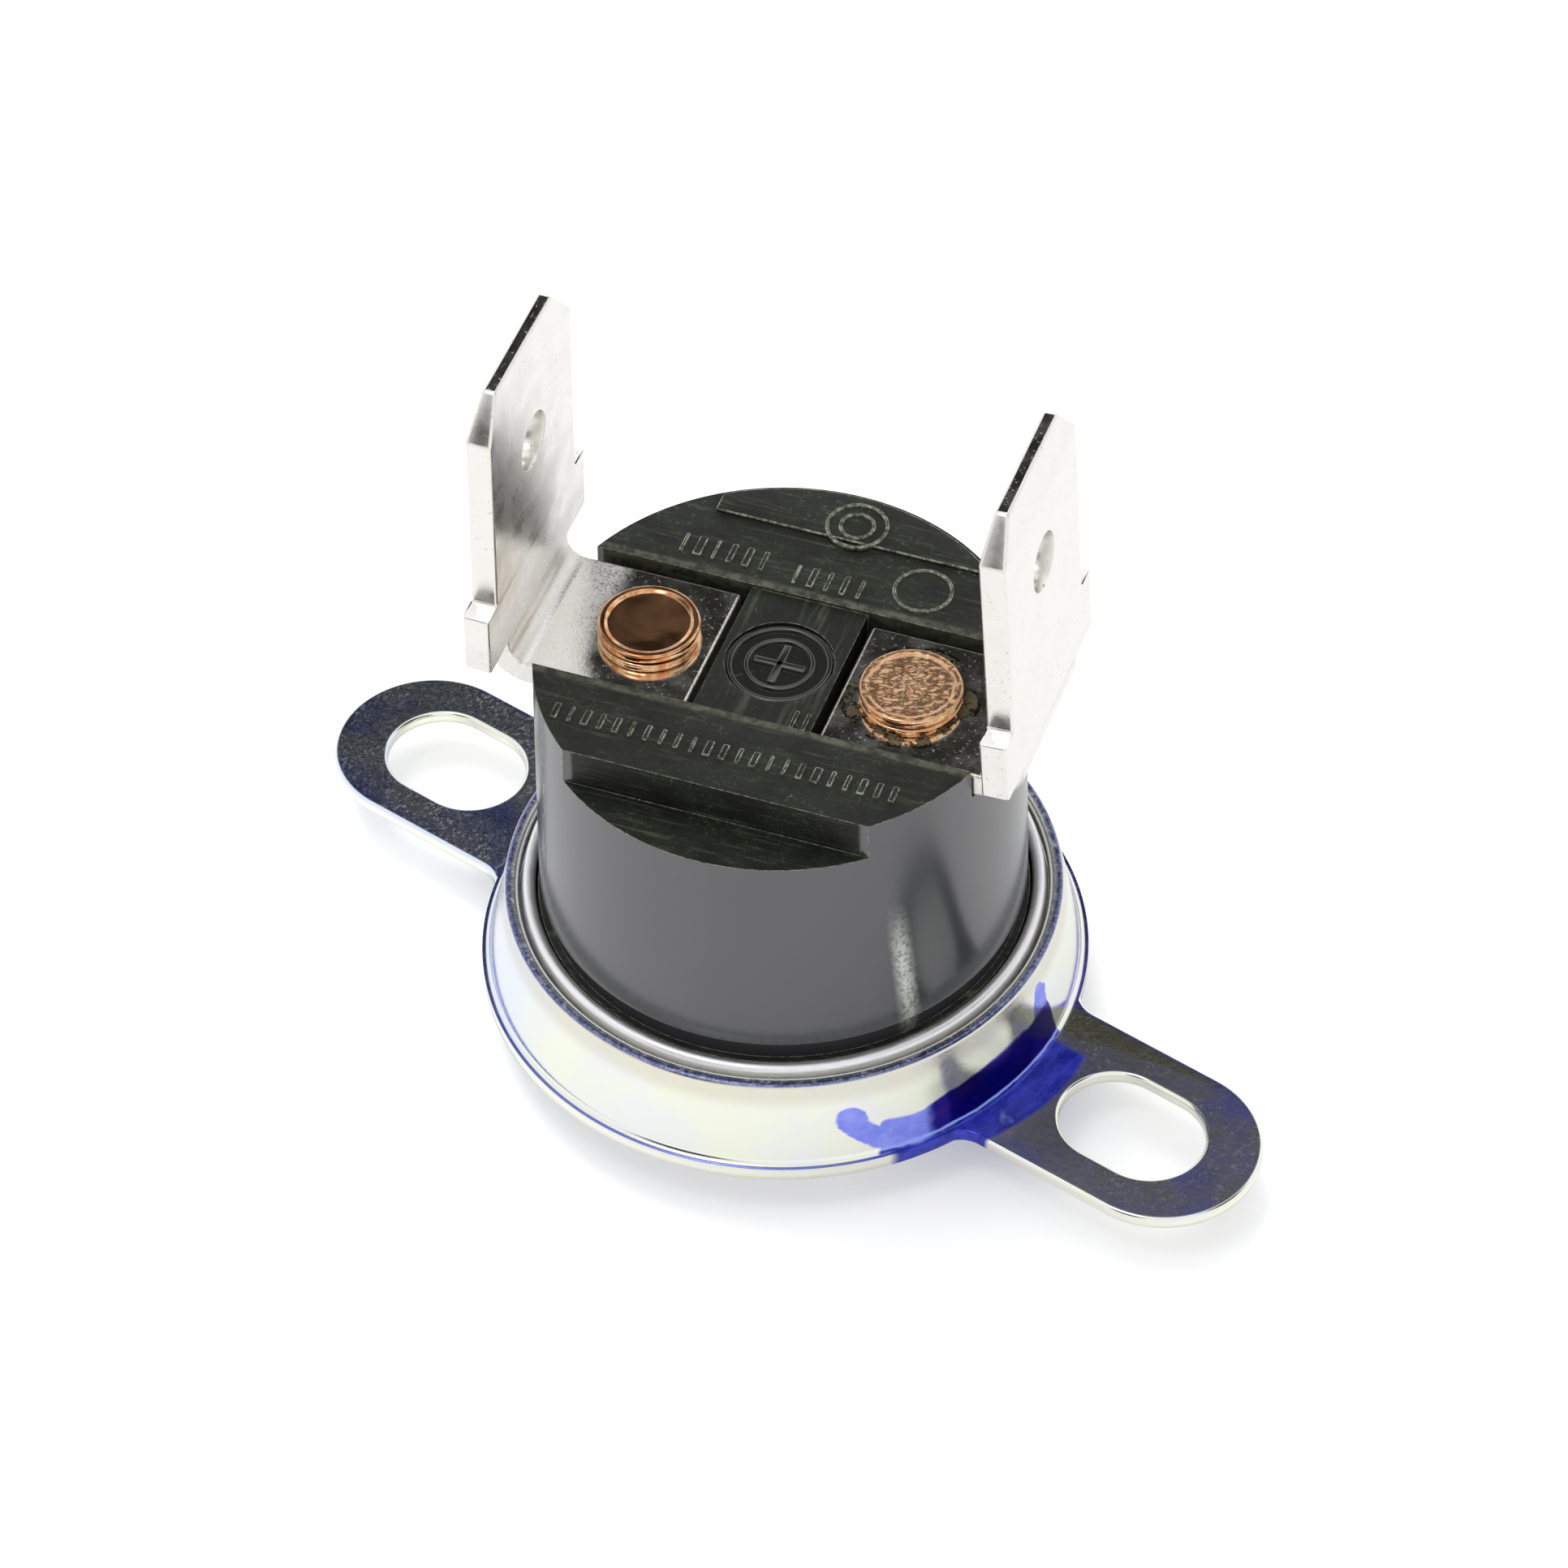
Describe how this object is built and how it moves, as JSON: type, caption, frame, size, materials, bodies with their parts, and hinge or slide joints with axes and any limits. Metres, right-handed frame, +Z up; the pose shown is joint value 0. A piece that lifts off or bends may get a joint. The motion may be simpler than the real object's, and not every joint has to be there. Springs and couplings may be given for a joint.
{
  "type": "oven vent thermostat",
  "caption": "Round snap-disc oven thermostat: black housing in an aluminium cap, upright push-on tabs held by copper rivets, and a loose bracket with slotted ears.",
  "frame": {"origin": "centre of the flat sensing face under the cap, on the axis of the round body", "axes": "+Z up out of the sensing face towards the tabs; X along the bracket's two slotted ears"},
  "size_m": [0.0338, 0.0184, 0.0242],
  "materials": {
    "cap": "drawn, smooth",
    "bimetal": "rolled bimetal strip, satin",
    "guide": "moulded phenolic",
    "ceramic": "unglazed ceramic",
    "housing": "black moulded phenolic, sides a little glossy",
    "strip": "rolled brass",
    "contact": "silver alloy",
    "spring": "copper alloy spring strip",
    "terminal": "nickel-plated brass, bright",
    "rivet": "copper, struck",
    "bracket": "bright zinc-plated steel"
  },
  "bodies": {
    "thermostat": {"cap": "cap", "bimetal_disc": "bimetal", "guide_plate": "guide", "housing": "housing", "fixed_contact_plate": "strip", "fixed_contact": "contact", "contact_spring": "spring", "terminal_left": "terminal", "terminal_right": "terminal", "rivet_left": "rivet", "rivet_right": "rivet"},
    "pin": {"push_pin": "ceramic"},
    "contact": {"moving_contact": "contact"},
    "bracket": {"mounting_bracket": "bracket"}
  },
  "joints": [
    {"name": "bracket_turn", "type": "hinge", "parent": "thermostat", "child": "bracket", "pos_m": [0, 0, 0], "axis": [0, 0, 1], "continuous": true},
    {"name": "pin_lift", "type": "slide", "parent": "thermostat", "child": "pin", "axis": [0, 0, 1], "range_m": [0, 0.00035], "stiffness_N_per_m": 500, "deforming": ["bimetal_disc", "contact_spring"]},
    {"name": "contact_lift", "type": "slide", "parent": "thermostat", "child": "contact", "axis": [0, 0, 1], "range_m": [0, 0.0006]}
  ],
  "couplings": [
    {"joint": "contact_lift", "follows": "pin_lift", "ratio": 1.7}
  ]
}
